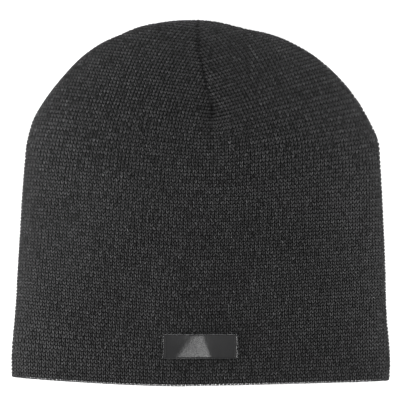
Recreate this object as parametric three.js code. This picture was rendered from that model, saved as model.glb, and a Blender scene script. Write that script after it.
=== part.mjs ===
// Flame-resistant knit beanie, lying on its back and slightly puffed, face up.
// Millimetres. +X to the wearer's left as it lies, +Y from the rim to the crown, +Z up from the surface.
import * as THREE from 'three';

// Driving dimensions
const WALL = 3.0; // two plies of knit, folded double at the rim
const FOLD_RADIUS = 4.5; // outside of the fold along each side
const GAP = 0.3; // between a sewn-on piece and the knit

// Sections from the rim to the crown, each a pair of rays from the spine out to the left and right edge.
// left, right: reach of the edge from the centre line. leftRise, rightRise: how far up the hat each edge is.
// spine: how far up the rays start. loft: height of the cloth there.
const SECTIONS = [
  { left: 108.0, leftRise: 1.5, right: 108.4, rightRise: 1.5, spine: 1.5, loft: 19.0 },
  { left: 107.8, leftRise: 14.0, right: 108.5, rightRise: 14.0, spine: 14.0, loft: 20.8 },
  { left: 105.7, leftRise: 42.0, right: 106.5, rightRise: 42.0, spine: 42.0, loft: 23.8 },
  { left: 103.7, leftRise: 77.0, right: 105.5, rightRise: 77.0, spine: 74.0, loft: 26.2 },
  { left: 102.0, leftRise: 106.0, right: 104.1, rightRise: 106.0, spine: 97.0, loft: 27.0 },
  { left: 100.4, leftRise: 128.0, right: 102.9, rightRise: 129.0, spine: 112.0, loft: 27.0 },
  { left: 98.9, leftRise: 140.5, right: 101.6, rightRise: 140.5, spine: 120.0, loft: 26.7 },
  { left: 95.6, leftRise: 152.0, right: 96.4, rightRise: 152.0, spine: 127.0, loft: 26.3 },
  { left: 88.9, leftRise: 163.4, right: 89.7, rightRise: 163.4, spine: 133.0, loft: 25.8 },
  { left: 80.1, leftRise: 174.8, right: 80.6, rightRise: 174.8, spine: 138.5, loft: 25.3 },
  { left: 69.6, leftRise: 186.2, right: 68.3, rightRise: 186.2, spine: 143.0, loft: 24.8 },
  { left: 58.2, leftRise: 194.8, right: 54.8, rightRise: 194.8, spine: 147.0, loft: 24.3 },
  { left: 45.8, leftRise: 200.6, right: 41.0, rightRise: 200.6, spine: 150.0, loft: 23.9 },
  { left: 34.0, leftRise: 205.3, right: 25.0, rightRise: 204.2, spine: 152.0, loft: 23.5 },
  { left: 17.0, leftRise: 208.4, right: 10.5, rightRise: 207.8, spine: 153.3, loft: 23.2 },
  { left: 1.1, leftRise: 209.1, right: -1.1, rightRise: 209.1, spine: 155.0, loft: 23.0 },
];
const SPINE_DRIFT = 7.0; // how far right of the centre line the spine ends, at the foot of the dart

// The rim lies in a shallow curve: each corner is higher than the lowest place, just left of the middle.
const RIM = { lowestAt: -12.0, left: { rise: 4.6, reach: 93.0, power: 1.5 },
  right: { rise: 2.6, reach: 115.0, power: 1.1 }, fadesBy: 150.0 };

// Seams
const DART = { depth: 1.4, full: 0.4, thread: 0.8, groundGap: 0.58 }; // the groove's sides are nearer
const DART_THREAD = { front: { from: 0.2, to: 0.93 }, back: { from: 0.45, to: 0.9 }, turns: 12 };
const CROWN_SEAM = { depth: 1.0, firstSection: 6, thread: 0.8, turns: 54 };
const THREAD_ARCS = 3; // pieces in each half of a thread's round section

// Label, a satin tab with its ends folded under. It lies below the section numbered under.
const LABEL = { left: -21.1, right: 21.3, low: 15.6, high: 29.8, thick: 0.5, under: 3,
  hem: { width: 2.2, thick: 0.9, step: 0.5 } };

// How finely the surfaces are divided
const STEPS = { perSection: 3, top: 10, fold: 3, under: 4, rim: 4, labelAcross: 20, labelUp: 4, halvings: 40 };

const LAST = SECTIONS.length - 1;
const QUARTER = Math.PI / 2;

const clamp01 = (value) => Math.min(1, Math.max(0, value));
const smooth = (value) => clamp01(value) ** 2 * (3 - 2 * clamp01(value));

/** One column of the table at a place between its rows, on a cubic through the rows on either side. */
function column(name, place) {
  const row = Math.min(LAST - 1, Math.floor(place));
  const part = place - row;
  const at = (index) => SECTIONS[Math.min(LAST, Math.max(0, index))][name];
  const [before, start, end, after] = [at(row - 1), at(row), at(row + 1), at(row + 2)];
  const leave = (end - before) / 2;
  const arrive = (after - start) / 2;
  return start * (1 - 3 * part ** 2 + 2 * part ** 3) + end * (3 * part ** 2 - 2 * part ** 3)
    + leave * (part - 2 * part ** 2 + part ** 3) + arrive * (part ** 3 - part ** 2);
}

/** Spine point and both edge points of the section at a place in the table. */
function section(place) {
  const rise = column('spine', place);
  return {
    spine: new THREE.Vector2(SPINE_DRIFT * (rise / SECTIONS[LAST].spine) ** 3, rise),
    left: new THREE.Vector2(-column('left', place), column('leftRise', place)),
    right: new THREE.Vector2(column('right', place), column('rightRise', place)),
    loft: column('loft', place),
  };
}

/** How far the curve of the rim lifts the cloth towards the crown, at a point of the plan. */
function rimLift(x, y) {
  const side = x < RIM.lowestAt ? RIM.left : RIM.right;
  const fade = clamp01(1 - y / RIM.fadesBy) ** 2;
  return side.rise * (Math.abs(x - RIM.lowestAt) / side.reach) ** side.power * fade;
}

/** A point of the wall: along a ray by reach, from 0 at the spine to the edge, at a height. */
function onRay(from, edge, reach, height) {
  const way = edge.clone().sub(from);
  const plan = from.clone().add(way.setLength(1).multiplyScalar(reach));
  return new THREE.Vector3(plan.x, plan.y + rimLift(plan.x, plan.y), height);
}

/** Half a section, from the spine over the top to the edge and back underneath to the spine. */
function halfLoop(place, side, inset) {
  const { spine, loft, [side]: edge } = section(place);
  const reach = edge.distanceTo(spine) - inset;
  const fold = FOLD_RADIUS - inset;
  const onDart = place === LAST && inset === 0;
  const seamed = inset === 0 ? smooth(place - CROWN_SEAM.firstSection + 1) : 0;
  const dip = (share) => (onDart ? DART.depth * smooth(share / DART.full) : 0);
  const points = [];
  for (let step = 0; step <= STEPS.top; step += 1) {
    const turn = QUARTER * step / STEPS.top;
    const share = Math.sin(turn);
    const pinch = step === STEPS.top ? CROWN_SEAM.depth * seamed : 0;
    const rise = (loft - inset - FOLD_RADIUS) * Math.cos(turn);
    points.push(onRay(spine, edge, reach * share - pinch, FOLD_RADIUS + rise - dip(share) * Math.cos(turn)));
  }
  for (let step = 1; step <= STEPS.fold; step += 1) {
    const turn = QUARTER * step / STEPS.fold;
    const height = FOLD_RADIUS - fold * Math.sin(turn) + dip(1) * Math.sin(turn) ** 2;
    points.push(onRay(spine, edge, reach - fold * (1 - Math.cos(turn)), height));
  }
  for (let step = 1; step <= STEPS.under; step += 1) {
    const share = 1 - step / STEPS.under;
    points.push(onRay(spine, edge, (reach - fold) * share, inset + dip(share) * (share > 0 ? 1 : 0)));
  }
  return points;
}

/** A whole section: over the right half, underneath, and back over the left half. */
function loop(place, inset) {
  const right = halfLoop(place, 'right', inset);
  const left = halfLoop(place, 'left', inset);
  return [...right, ...left.slice(1, -1).reverse()];
}

/** Loops that round the rim, from the outside of the wall to its inside. */
function rimLoops() {
  const outside = loop(0, 0);
  const inside = loop(0, WALL);
  return Array.from({ length: STEPS.rim - 1 }, (_, index) => {
    const turn = Math.PI * (index + 1) / STEPS.rim;
    return outside.map((point, at) => {
      const middle = point.clone().add(inside[at]).multiplyScalar(0.5);
      const half = point.clone().sub(middle);
      middle.y -= half.length() * Math.sin(turn);
      return middle.addScaledVector(half, Math.cos(turn));
    });
  });
}

/** Triangles between loops that follow each other. Each end is closed by the loop itself. */
function loft(loops) {
  const across = loops[0].length;
  const index = [];
  for (let row = 0; row < loops.length - 1; row += 1) {
    for (let at = 0; at < across; at += 1) {
      const next = (at + 1) % across;
      const [a, b] = [row * across + at, row * across + next];
      const [c, d] = [a + across, b + across];
      index.push(a, c, b, b, c, d);
    }
  }
  const geometry = new THREE.BufferGeometry().setFromPoints(loops.flat());
  geometry.setIndex(index);
  return geometry;
}

/** The knitted wall: up the outside from the crown to the rim, round it, and back up the inside. */
function knitGeometry() {
  const count = LAST * STEPS.perSection;
  const places = Array.from({ length: count + 1 }, (_, index) => index / STEPS.perSection);
  const outside = places.map((place) => loop(place, 0)).reverse();
  const inside = places.map((place) => loop(place, WALL));
  return loft([...outside, ...rimLoops(), ...inside]);
}

/** A thread of round section along a smooth line of points. */
function threadGeometry(points, thickness, steps) {
  const round = new THREE.Shape();
  round.absarc(0, 0, thickness / 2, 0, 2 * Math.PI, false);
  return new THREE.ExtrudeGeometry(round, {
    steps,
    curveSegments: THREAD_ARCS,
    bevelEnabled: false,
    extrudePath: new THREE.CatmullRomCurve3(points),
  });
}

/** The thread over the dome, in the groove that it draws in along both edges. */
function crownSeamGeometry() {
  const edgeAt = (place, side) => {
    const { spine, [side]: edge } = section(place);
    const out = GAP + CROWN_SEAM.thread / 2 - CROWN_SEAM.depth;
    return onRay(spine, edge, edge.distanceTo(spine) + out, FOLD_RADIUS);
  };
  const first = CROWN_SEAM.firstSection * STEPS.perSection;
  const count = LAST * STEPS.perSection - first;
  const places = Array.from({ length: count }, (_, index) => (first + index) / STEPS.perSection);
  const left = places.map((place) => edgeAt(place, 'left'));
  const right = places.map((place) => edgeAt(place, 'right')).reverse();
  return threadGeometry([...left, edgeAt(LAST, 'left'), ...right], CROWN_SEAM.thread, CROWN_SEAM.turns);
}

/** The thread of a dart, along the bottom of its groove, on the front or, behind, on the underside. */
function dartSeamGeometry(face) {
  const { spine, left: edge, loft: height } = section(LAST);
  const reach = edge.distanceTo(spine);
  const lift = DART.groundGap + DART.thread / 2;
  const { from, to } = DART_THREAD[face];
  const points = Array.from({ length: DART_THREAD.turns + 1 }, (_, index) => {
    const share = from + (to - from) * index / DART_THREAD.turns;
    const turn = Math.asin(share);
    const dip = DART.depth * smooth(share / DART.full);
    if (face === 'back') return onRay(spine, edge, (reach - FOLD_RADIUS) * share, dip - lift);
    const rise = (height - FOLD_RADIUS - dip) * Math.cos(turn);
    const slope = Math.atan((height - FOLD_RADIUS - dip) * Math.tan(turn) / reach);
    return onRay(spine, edge, reach * share + lift * Math.sin(slope), FOLD_RADIUS + rise + lift * Math.cos(slope));
  });
  return threadGeometry(points, DART.thread, 2 * DART_THREAD.turns);
}

/** Height of the upper cloth over a point of the plan at the label, found by halving. */
function clothHeight(x, y) {
  let [low, high] = [0, LABEL.under];
  for (let round = 0; round < STEPS.halvings; round += 1) {
    const middle = (low + high) / 2;
    const { spine } = section(middle);
    if (spine.y + rimLift(x, spine.y) < y) low = middle; else high = middle;
  }
  const { spine, left, right, loft: height } = section(low);
  const edge = x < spine.x ? left : right;
  const share = Math.abs(x - spine.x) / edge.distanceTo(spine);
  return FOLD_RADIUS + (height - FOLD_RADIUS) * Math.sqrt(1 - share ** 2);
}

/** The label: a thin sheet laid on the cloth, thicker where its ends are folded under. */
function labelGeometry() {
  const columns = [LABEL.left, LABEL.left + LABEL.hem.width];
  const inset = LABEL.hem.width + LABEL.hem.step;
  const inner = LABEL.right - LABEL.left - 2 * inset;
  for (let step = 0; step <= STEPS.labelAcross; step += 1) {
    columns.push(LABEL.left + inset + inner * step / STEPS.labelAcross);
  }
  columns.push(LABEL.right - LABEL.hem.width, LABEL.right);
  const loops = columns.reverse().map((x, at) => {
    const hem = at < 2 || at > columns.length - 3;
    const rows = Array.from({ length: STEPS.labelUp + 1 }, (_, index) => {
      const y = LABEL.low + (LABEL.high - LABEL.low) * index / STEPS.labelUp;
      return new THREE.Vector3(x, y, clothHeight(x, y) + GAP);
    });
    const thick = hem ? LABEL.hem.thick : LABEL.thick;
    const above = rows.map((point) => point.clone().setZ(point.z + thick)).reverse();
    return [...rows, ...above];
  });
  const geometry = loft(loops);
  const index = Array.from(geometry.index.array);
  const size = loops[0].length;
  const end = (loops.length - 1) * size;
  for (let row = 0; row < STEPS.labelUp; row += 1) {
    const [a, b, c, d] = [row, row + 1, size - 2 - row, size - 1 - row];
    index.push(a, b, c, a, c, d, end + a, end + c, end + b, end + a, end + d, end + c);
  }
  geometry.setIndex(index);
  return geometry;
}

const knit = new THREE.MeshStandardMaterial({ color: 0x2e2e2f, roughness: 0.95, metalness: 0 });
const thread = new THREE.MeshStandardMaterial({ color: 0x1d1d1e, roughness: 0.8, metalness: 0 });
const satin = new THREE.MeshStandardMaterial({ color: 0x202124, roughness: 0.35, metalness: 0 });

const pieces = [
  ['knit_body', knitGeometry(), knit],
  ['crown_seam', crownSeamGeometry(), thread],
  ['front_dart_seam', dartSeamGeometry('front'), thread],
  ['back_dart_seam', dartSeamGeometry('back'), thread],
  ['label', labelGeometry(), satin],
];

const beanie = new THREE.Group();
for (const [name, geometry, material] of pieces) {
  const mesh = new THREE.Mesh(geometry, material);
  mesh.name = name;
  beanie.add(mesh);
}

// The origin is on the surface that the hat lies on, under the middle of its bounding box.
const box = new THREE.Box3().setFromObject(beanie);
const middle = box.getCenter(new THREE.Vector3());
beanie.position.set(-middle.x, -middle.y, -box.min.z);

export default beanie;
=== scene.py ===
"""The looks of a flame-resistant knit beanie that lies on its back, seen from straight above.

Shapes are worked out in millimetres in the hat's own plan, with the rim at y = 0 and the crown at y = 209,
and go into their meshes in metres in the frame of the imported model.
"""

import logging
import math
from dataclasses import dataclass, field
from enum import Enum

import bmesh
import bpy
import numpy as np
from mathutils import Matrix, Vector


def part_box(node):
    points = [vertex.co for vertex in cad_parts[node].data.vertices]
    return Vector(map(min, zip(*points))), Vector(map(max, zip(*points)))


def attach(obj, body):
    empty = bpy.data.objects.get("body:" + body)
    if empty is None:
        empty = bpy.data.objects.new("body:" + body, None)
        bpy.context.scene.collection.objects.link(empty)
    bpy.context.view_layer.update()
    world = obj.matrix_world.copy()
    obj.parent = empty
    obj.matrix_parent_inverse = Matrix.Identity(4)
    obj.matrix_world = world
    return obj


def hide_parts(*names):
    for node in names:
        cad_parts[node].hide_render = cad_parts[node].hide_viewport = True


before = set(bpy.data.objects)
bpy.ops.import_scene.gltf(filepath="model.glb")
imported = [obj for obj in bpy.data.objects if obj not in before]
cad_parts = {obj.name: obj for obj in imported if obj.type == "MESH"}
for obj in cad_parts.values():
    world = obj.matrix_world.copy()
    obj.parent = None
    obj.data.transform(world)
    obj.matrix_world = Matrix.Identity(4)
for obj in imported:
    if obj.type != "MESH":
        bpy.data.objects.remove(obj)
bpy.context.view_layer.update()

LOG = logging.getLogger("beanie")
Array = np.ndarray

METRES = 0.001
ROOT = "root"
QUARTER = math.pi / 2


class Layer(Enum):
    """The two faces of the lying hat."""

    UPPER = 1
    LOWER = -1


class Slot(Enum):
    """The material slots of the record."""

    KNIT = "knit"
    THREAD = "thread"
    SATIN = "satin"


def smooth(value: Array) -> Array:
    """Rises from 0 to 1 with level ends: three times the square less twice the cube."""
    held = np.clip(value, 0.0, 1.0)
    return held * held * (3.0 - 2.0 * held)


# Sections of the lying hat from the rim to the crown, each a pair of rays from the spine to the edges.
SECTION_COLUMNS = ("left", "left_rise", "right", "right_rise", "spine", "loft")
SECTIONS = np.array(
    [
        (108.0, 1.5, 108.4, 1.5, 1.5, 19.0),
        (107.8, 14.0, 108.5, 14.0, 14.0, 20.8),
        (105.7, 42.0, 106.5, 42.0, 42.0, 23.8),
        (103.7, 77.0, 105.5, 77.0, 74.0, 26.2),
        (102.0, 106.0, 104.1, 106.0, 97.0, 27.0),
        (100.4, 128.0, 102.9, 129.0, 112.0, 27.0),
        (98.9, 140.5, 101.6, 140.5, 120.0, 26.7),
        (95.6, 152.0, 96.4, 152.0, 127.0, 26.3),
        (88.9, 163.4, 89.7, 163.4, 133.0, 25.8),
        (80.1, 174.8, 80.6, 174.8, 138.5, 25.3),
        (69.6, 186.2, 68.3, 186.2, 143.0, 24.8),
        (58.2, 194.8, 54.8, 194.8, 147.0, 24.3),
        (45.8, 200.6, 41.0, 200.6, 150.0, 23.9),
        (34.0, 205.3, 25.0, 204.2, 152.0, 23.5),
        (17.0, 208.4, 10.5, 207.8, 153.3, 23.2),
        (1.1, 209.1, -1.1, 209.1, 155.0, 23.0),
    ],
    dtype=[(name, float) for name in SECTION_COLUMNS],
)

# Long sine waves of the lying cloth: height, length across, length up, and the angle at which each starts.
WAVES = (
    (0.34, 17.0, 29.0, 0.6),
    (0.26, 41.0, -13.5, 2.1),
    (0.18, 9.5, -31.0, 4.0),
    (0.14, 23.0, 8.7, 1.3),
)

# The cubic of the dart's bend is 4/27 at its greatest, and this brings that to 1.
BEND_SCALE = 6.75

GAUSS_POINTS = 8
NEWTON_STEPS = 7
NEWTON_START = 0.97
LONGEST_SINE = 0.999
HALVINGS = 26


@dataclass
class LyingForm:
    """The form of the hat as it lies, in plan millimetres.

    Its sections repeat the table of the CAD source. The long waves, the bend and notch of the dart, and the
    shallower grooves of both seams are this script's own.

    A ray runs from the spine to the left or right edge. A point of the upper cloth is placed by its ray and
    by a turn from 0 at the spine to a quarter turn at the edge, on a quarter of an ellipse. The lower cloth
    lies flat and rises round the fold at the edge.
    """

    wall: float = 3.0
    fold: float = 4.5
    spine_drift: float = 7.0
    rim_lowest: float = -12.0
    rim_left: tuple[float, float, float] = (4.6, 93.0, 1.5)
    rim_right: tuple[float, float, float] = (2.6, 115.0, 1.1)
    rim_fades_by: float = 150.0
    dart_depth: float = 1.1
    dart_reach: float = 1.2
    dart_full: float = 0.5
    dart_fades: float = 0.04
    dart_notch: float = 0.6
    dart_bend: float = 2.6
    pinch_depth: float = 0.5
    pinch_reach: float = 1.0
    pinch_from: float = 5.6
    wave_from_edge: float = 30.0
    wave_from_rim: float = 20.0
    table_steps: int = 1500
    table: dict[str, Array] = field(init=False)

    def __post_init__(self) -> None:
        """Fills in the table between its rows, by cubics through the rows on either side."""
        last = len(SECTIONS) - 1
        place = np.linspace(0.0, last, self.table_steps + 1)
        row = np.minimum(place.astype(int), last - 1)
        part = place - row
        self.table = {"place": place}
        for name in SECTION_COLUMNS:
            column = SECTIONS[name]
            rows = [column[np.clip(row + step, 0, last)] for step in (-1, 0, 1, 2)]
            leave = (rows[2] - rows[0]) / 2
            arrive = (rows[3] - rows[1]) / 2
            self.table[name] = (
                rows[1] * (1 - 3 * part**2 + 2 * part**3)
                + rows[2] * (3 * part**2 - 2 * part**3)
                + leave * (part - 2 * part**2 + part**3)
                + arrive * (part**3 - part**2)
            )

    @property
    def last(self) -> float:
        """The place of the last section, whose two rays are the line of the darts."""
        return float(len(SECTIONS) - 1)

    def at(self, name: str, place: Array) -> Array:
        """A column of the table at any place."""
        return np.interp(place, self.table["place"], self.table[name])

    def spine_x(self, rise: Array) -> Array:
        """How far right of the centre line the spine is: the cube of the rise."""
        return self.spine_drift * (rise / SECTIONS["spine"][-1]) ** 3

    def rays(self, place: Array, side: Array) -> tuple[Array, Array, Array, Array]:
        """The rays at places of the table.

        Args:
            place: place in the table, from 0 at the rim.
            side: -1 for a ray to the left, 1 for one to the right.

        Returns:
            The spine points, the unit directions, the lengths and the heights over the spine.
        """
        rise = self.at("spine", place)
        spine = np.stack([self.spine_x(rise), rise], -1)
        left = np.stack([-self.at("left", place), self.at("left_rise", place)], -1)
        right = np.stack([self.at("right", place), self.at("right_rise", place)], -1)
        way = np.where(side[..., None] < 0, left, right) - spine
        reach = np.linalg.norm(way, axis=-1)
        return spine, way / reach[..., None], reach, self.at("loft", place)

    def rim_lift(self, x: Array, y: Array) -> Array:
        """How far the curve of the rim lifts the cloth: a power of the way from its lowest place."""
        rise, reach, power = (
            np.where(x < self.rim_lowest, left, right)
            for left, right in zip(self.rim_left, self.rim_right, strict=True)
        )
        fade = np.clip(1 - y / self.rim_fades_by, 0.0, 1.0) ** 2
        return rise * (np.abs(x - self.rim_lowest) / reach) ** power * fade

    def dart_line(self) -> tuple[Array, Array]:
        """The foot and the top of the darts, in the plan."""
        last = np.array([self.last])
        spine, way, reach, _ = self.rays(last, np.array([-1.0]))
        return spine[0], spine[0] + way[0] * reach[0]

    def bend(self, share: Array) -> Array:
        """How far left of a straight line the dart runs: a cubic, greatest at two thirds of the way up."""
        held = np.clip(share, 0.0, 1.0)
        return self.dart_bend * BEND_SCALE * held**2 * (1 - held)

    def middle_x(self, y: Array) -> Array:
        """The line that courses dip to: up to the foot of the dart, and then along it."""
        foot, top = self.dart_line()
        share = (y - foot[1]) / (top[1] - foot[1])
        on_dart = foot[0] + (top[0] - foot[0]) * share - self.bend(share)
        return np.where(share > 0, on_dart, foot[0] * y / foot[1])

    def dart_dip(self, plan: Array) -> Array:
        """How deep the seam of a dart draws the cloth in: an exponential of the distance from its line."""
        foot, top = self.dart_line()
        way = (top - foot) / np.linalg.norm(top - foot)
        share = (plan - foot) @ way / np.linalg.norm(top - foot)
        across = np.abs((plan - foot) @ np.array([-way[1], way[0]]) - self.bend(share))
        ends = smooth(share / self.dart_full) * smooth((1.0 - share) / self.dart_fades + 0.5)
        return self.dart_depth * ends * np.exp(-across / self.dart_reach)

    def pinch(self, place: Array, from_edge: Array) -> Array:
        """How far the crown seam draws the edge in: an exponential of the distance from the edge."""
        return self.pinch_depth * smooth(place - self.pinch_from) * np.exp(-from_edge / self.pinch_reach)

    def waves(self, plan: Array) -> Array:
        """The slight unevenness of lying cloth: four long sine waves that cross."""
        x, y = plan[..., 0], plan[..., 1]
        return sum(height * np.sin(x / across + y / up + start) for height, across, up, start in WAVES)

    def stand(self, plan: Array, height: Array) -> Array:
        """Lifts plan points to their heights, after the curve of the rim."""
        x, y = plan[..., 0], plan[..., 1]
        return np.stack([x, y + self.rim_lift(x, y), height], -1)

    def upper(self, place: Array, side: Array, turn: Array, inset: float) -> Array:
        """Points of the upper cloth.

        Args:
            place: place of the ray in the table.
            side: -1 left, 1 right.
            turn: angle on the quarter ellipse, from the spine to the edge.
            inset: how far inside the outer face.

        Returns:
            The points, in the plan and height.
        """
        spine, way, reach, loft = self.rays(place, side)
        radial = (reach - inset) * np.sin(turn)
        rise = (loft - inset - self.fold) * np.cos(turn)
        from_edge = np.hypot(reach - inset - radial, rise)
        radial = radial - self.pinch(place, from_edge)
        dip = self.dart_dip(spine + way * radial[..., None])
        radial = radial - self.dart_notch * dip * np.sin(turn) ** 2
        plan = spine + way * radial[..., None]
        wave = self.waves(plan) * smooth(from_edge / self.wave_from_edge)
        wave = wave * smooth(plan[..., 1] / self.wave_from_rim)
        return self.stand(plan, self.fold + rise - dip * np.cos(turn) ** 0.5 + wave)

    def lower(self, place: Array, side: Array, travel: Array, inset: float) -> Array:
        """Points of the lower cloth, flat and then round the fold.

        Args:
            place: place of the ray in the table.
            side: -1 left, 1 right.
            travel: way along the cloth from the spine.
            inset: how far inside the outer face.

        Returns:
            The points, in the plan and height.
        """
        spine, way, reach, _ = self.rays(place, side)
        flat = reach - self.fold
        over = np.clip((travel - flat) / self.fold, 0.0, QUARTER)
        radial = np.minimum(travel, flat) + (self.fold - inset) * np.sin(over)
        height = self.fold - (self.fold - inset) * np.cos(over)
        from_edge = np.hypot(reach - inset - radial, self.fold - height)
        radial = radial - self.pinch(place, from_edge)
        plan = spine + way * radial[..., None]
        return self.stand(plan, height + np.minimum(self.dart_dip(plan), self.wall / 2))

    def arc(self, turn: Array, reach: Array, rise: Array) -> Array:
        """Length of an elliptical arc from its top, by Gauss integration."""
        nodes, weights = np.polynomial.legendre.leggauss(GAUSS_POINTS)
        at = turn[..., None] / 2 * (1 + nodes)
        speed = np.sqrt((reach[..., None] * np.cos(at)) ** 2 + (rise[..., None] * np.sin(at)) ** 2)
        return turn / 2 * (speed * weights).sum(-1)

    def turn_after(self, travel: Array, reach: Array, rise: Array) -> Array:
        """The turn at which the elliptical arc is as long as travel, by Newton's steps."""
        turn = np.arcsin(np.clip(travel / reach * NEWTON_START, 0.0, LONGEST_SINE))
        for _ in range(NEWTON_STEPS):
            speed = np.hypot(reach * np.cos(turn), rise * np.sin(turn))
            turn = np.clip(turn - (self.arc(turn, reach, rise) - travel) / speed, 0.0, QUARTER)
        return turn

    def cloth_reach(self, place: Array, side: Array, layer: Layer) -> Array:
        """Length of cloth along a ray, from the spine to the edge."""
        _, _, reach, loft = self.rays(place, side)
        if layer is Layer.UPPER:
            return self.arc(np.full_like(reach, QUARTER), reach, loft - self.fold)
        return reach - self.fold + self.fold * QUARTER

    def edge_of_cloth(self, side: float, layer: Layer) -> Array:
        """The edge of the flattened cloth on one side, from the rim to the crown."""
        place = self.table["place"]
        sides = np.full_like(place, side)
        spine, way, _, _ = self.rays(place, sides)
        return spine + way * self.cloth_reach(place, sides, layer)[:, None]

    def locate(self, flat: Array) -> tuple[Array, Array, Array]:
        """Finds the ray through each point of the flattened cloth, by halving.

        Args:
            flat: points of the flattened cloth.

        Returns:
            The places of the rays, their sides, and the way along them.
        """
        foot, top = self.dart_line()
        on_dart = foot[0] + (top[0] - foot[0]) * (flat[..., 1] - foot[1]) / (top[1] - foot[1])
        middle = np.where(flat[..., 1] > foot[1], on_dart, self.spine_x(np.minimum(flat[..., 1], foot[1])))
        side = np.where(flat[..., 0] < middle, -1.0, 1.0)
        low, high = np.zeros_like(side), np.full_like(side, self.last)
        for _ in range(HALVINGS):
            place = (low + high) / 2
            spine, way, _, _ = self.rays(place, side)
            off = flat - spine
            above = side * (way[..., 0] * off[..., 1] - way[..., 1] * off[..., 0]) > 0
            low, high = np.where(above, place, low), np.where(above, high, place)
        spine, way, _, _ = self.rays(low, side)
        return low, side, np.maximum(((flat - spine) * way).sum(-1), 0.0)

    def drape(self, flat: Array, inset: float, layer: Layer) -> Array:
        """Lays points of the flattened cloth on the form.

        Args:
            flat: points of the flattened cloth.
            inset: how far inside the outer face.
            layer: upper or lower cloth.

        Returns:
            The points in space.
        """
        place, side, travel = self.locate(flat)
        if layer is Layer.LOWER:
            return self.lower(place, side, travel, inset)
        _, _, reach, loft = self.rays(place, side)
        return self.upper(place, side, self.turn_after(travel, reach, loft - self.fold), inset)

    def wrap(self, x: Array, travel: Array, layer: Layer) -> Array:
        """The knit's surface, which goes on round the rim from the outside to the inside.

        Args:
            x: place across the flattened cloth.
            travel: way up from the rim. Below 0 it goes round the rim and then up the inside.
            layer: upper or lower cloth.

        Returns:
            The points in space.
        """
        round_rim = math.pi * self.wall / 2
        up = np.maximum(np.maximum(travel, 0.0), -travel - round_rim)
        flat = np.stack([x, up + self.wall / 2], -1)
        outside = self.drape(flat, 0.0, layer)
        inside = self.drape(flat, self.wall, layer)
        turn = np.clip(-travel / (self.wall / 2), 0.0, math.pi)
        half = (outside - inside) / 2
        points = (outside + inside) / 2 + half * np.cos(turn)[..., None]
        points[..., 1] -= np.linalg.norm(half, axis=-1) * np.sin(turn)
        return points


def in_scene(name: str, data: bpy.types.ID) -> bpy.types.Object:
    """A new object of the scene, at the origin."""
    made = bpy.data.objects.new(name, data)
    bpy.context.scene.collection.objects.link(made)
    return made


@dataclass
class MeshMaker:
    """Puts arrays of points and faces into meshes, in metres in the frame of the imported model."""

    centre: tuple[float, float]

    def place(self, points: Array) -> Array:
        """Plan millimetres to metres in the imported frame."""
        moved = points - np.array([self.centre[0], self.centre[1], 0.0])
        return moved * METRES

    def make(self, name: str, points: Array, faces: Array, merge: bool = False) -> bpy.types.Object:
        """A smooth mesh object.

        Args:
            name: the piece's name.
            points: corners, in plan millimetres.
            faces: rows of corner numbers, all of one length.
            merge: join corners that coincide.

        Returns:
            The object, at the origin.
        """
        mesh = bpy.data.meshes.new(name)
        sides = faces.shape[1]
        mesh.vertices.add(len(points))
        mesh.vertices.foreach_set("co", self.place(points).astype(np.float32).ravel())
        mesh.loops.add(faces.size)
        mesh.loops.foreach_set("vertex_index", faces.astype(np.int32).ravel())
        mesh.polygons.add(len(faces))
        mesh.polygons.foreach_set("loop_start", np.arange(0, faces.size, sides, dtype=np.int32))
        mesh.polygons.foreach_set("use_smooth", np.ones(len(faces), bool))
        mesh.update(calc_edges=True)
        if merge:
            form = bmesh.new()
            form.from_mesh(mesh)
            bmesh.ops.remove_doubles(form, verts=form.verts, dist=1e-6)
            form.to_mesh(mesh)
            form.free()
        return in_scene(name, mesh)

    def map_corners(self, made: bpy.types.Object, name: str, at: Array) -> None:
        """Gives a piece a UV map from one place for each of its points."""
        corners = np.empty(len(made.data.loops), np.int32)
        made.data.loops.foreach_get("vertex_index", corners)
        layer = made.data.uv_layers.new(name=name)
        layer.uv.foreach_set("vector", at[corners].astype(np.float32).ravel())

    def values(self, made: bpy.types.Object, name: str, numbers: Array) -> None:
        """Gives a piece a number for each of its points."""
        attribute = made.data.attributes.new(name, "FLOAT", "POINT")
        attribute.data.foreach_set("value", numbers.astype(np.float32))


def grid_faces(rows: int, columns: int, closed: bool = False) -> Array:
    """Quads between the points of a grid that is stored row by row."""
    across = columns if closed else columns - 1
    row, column = np.meshgrid(np.arange(rows - 1), np.arange(across), indexing="ij")
    here = (row * columns + column).ravel()
    beside = (row * columns + (column + 1) % columns).ravel()
    return np.stack([here, beside, beside + columns, here + columns], -1)


def on_line(values: Array, gone: Array, at: Array) -> Array:
    """What a line's points carry, at ways along it, each column in proportion between two points."""
    return np.stack([np.interp(at, gone, column) for column in values.T], -1)


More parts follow.
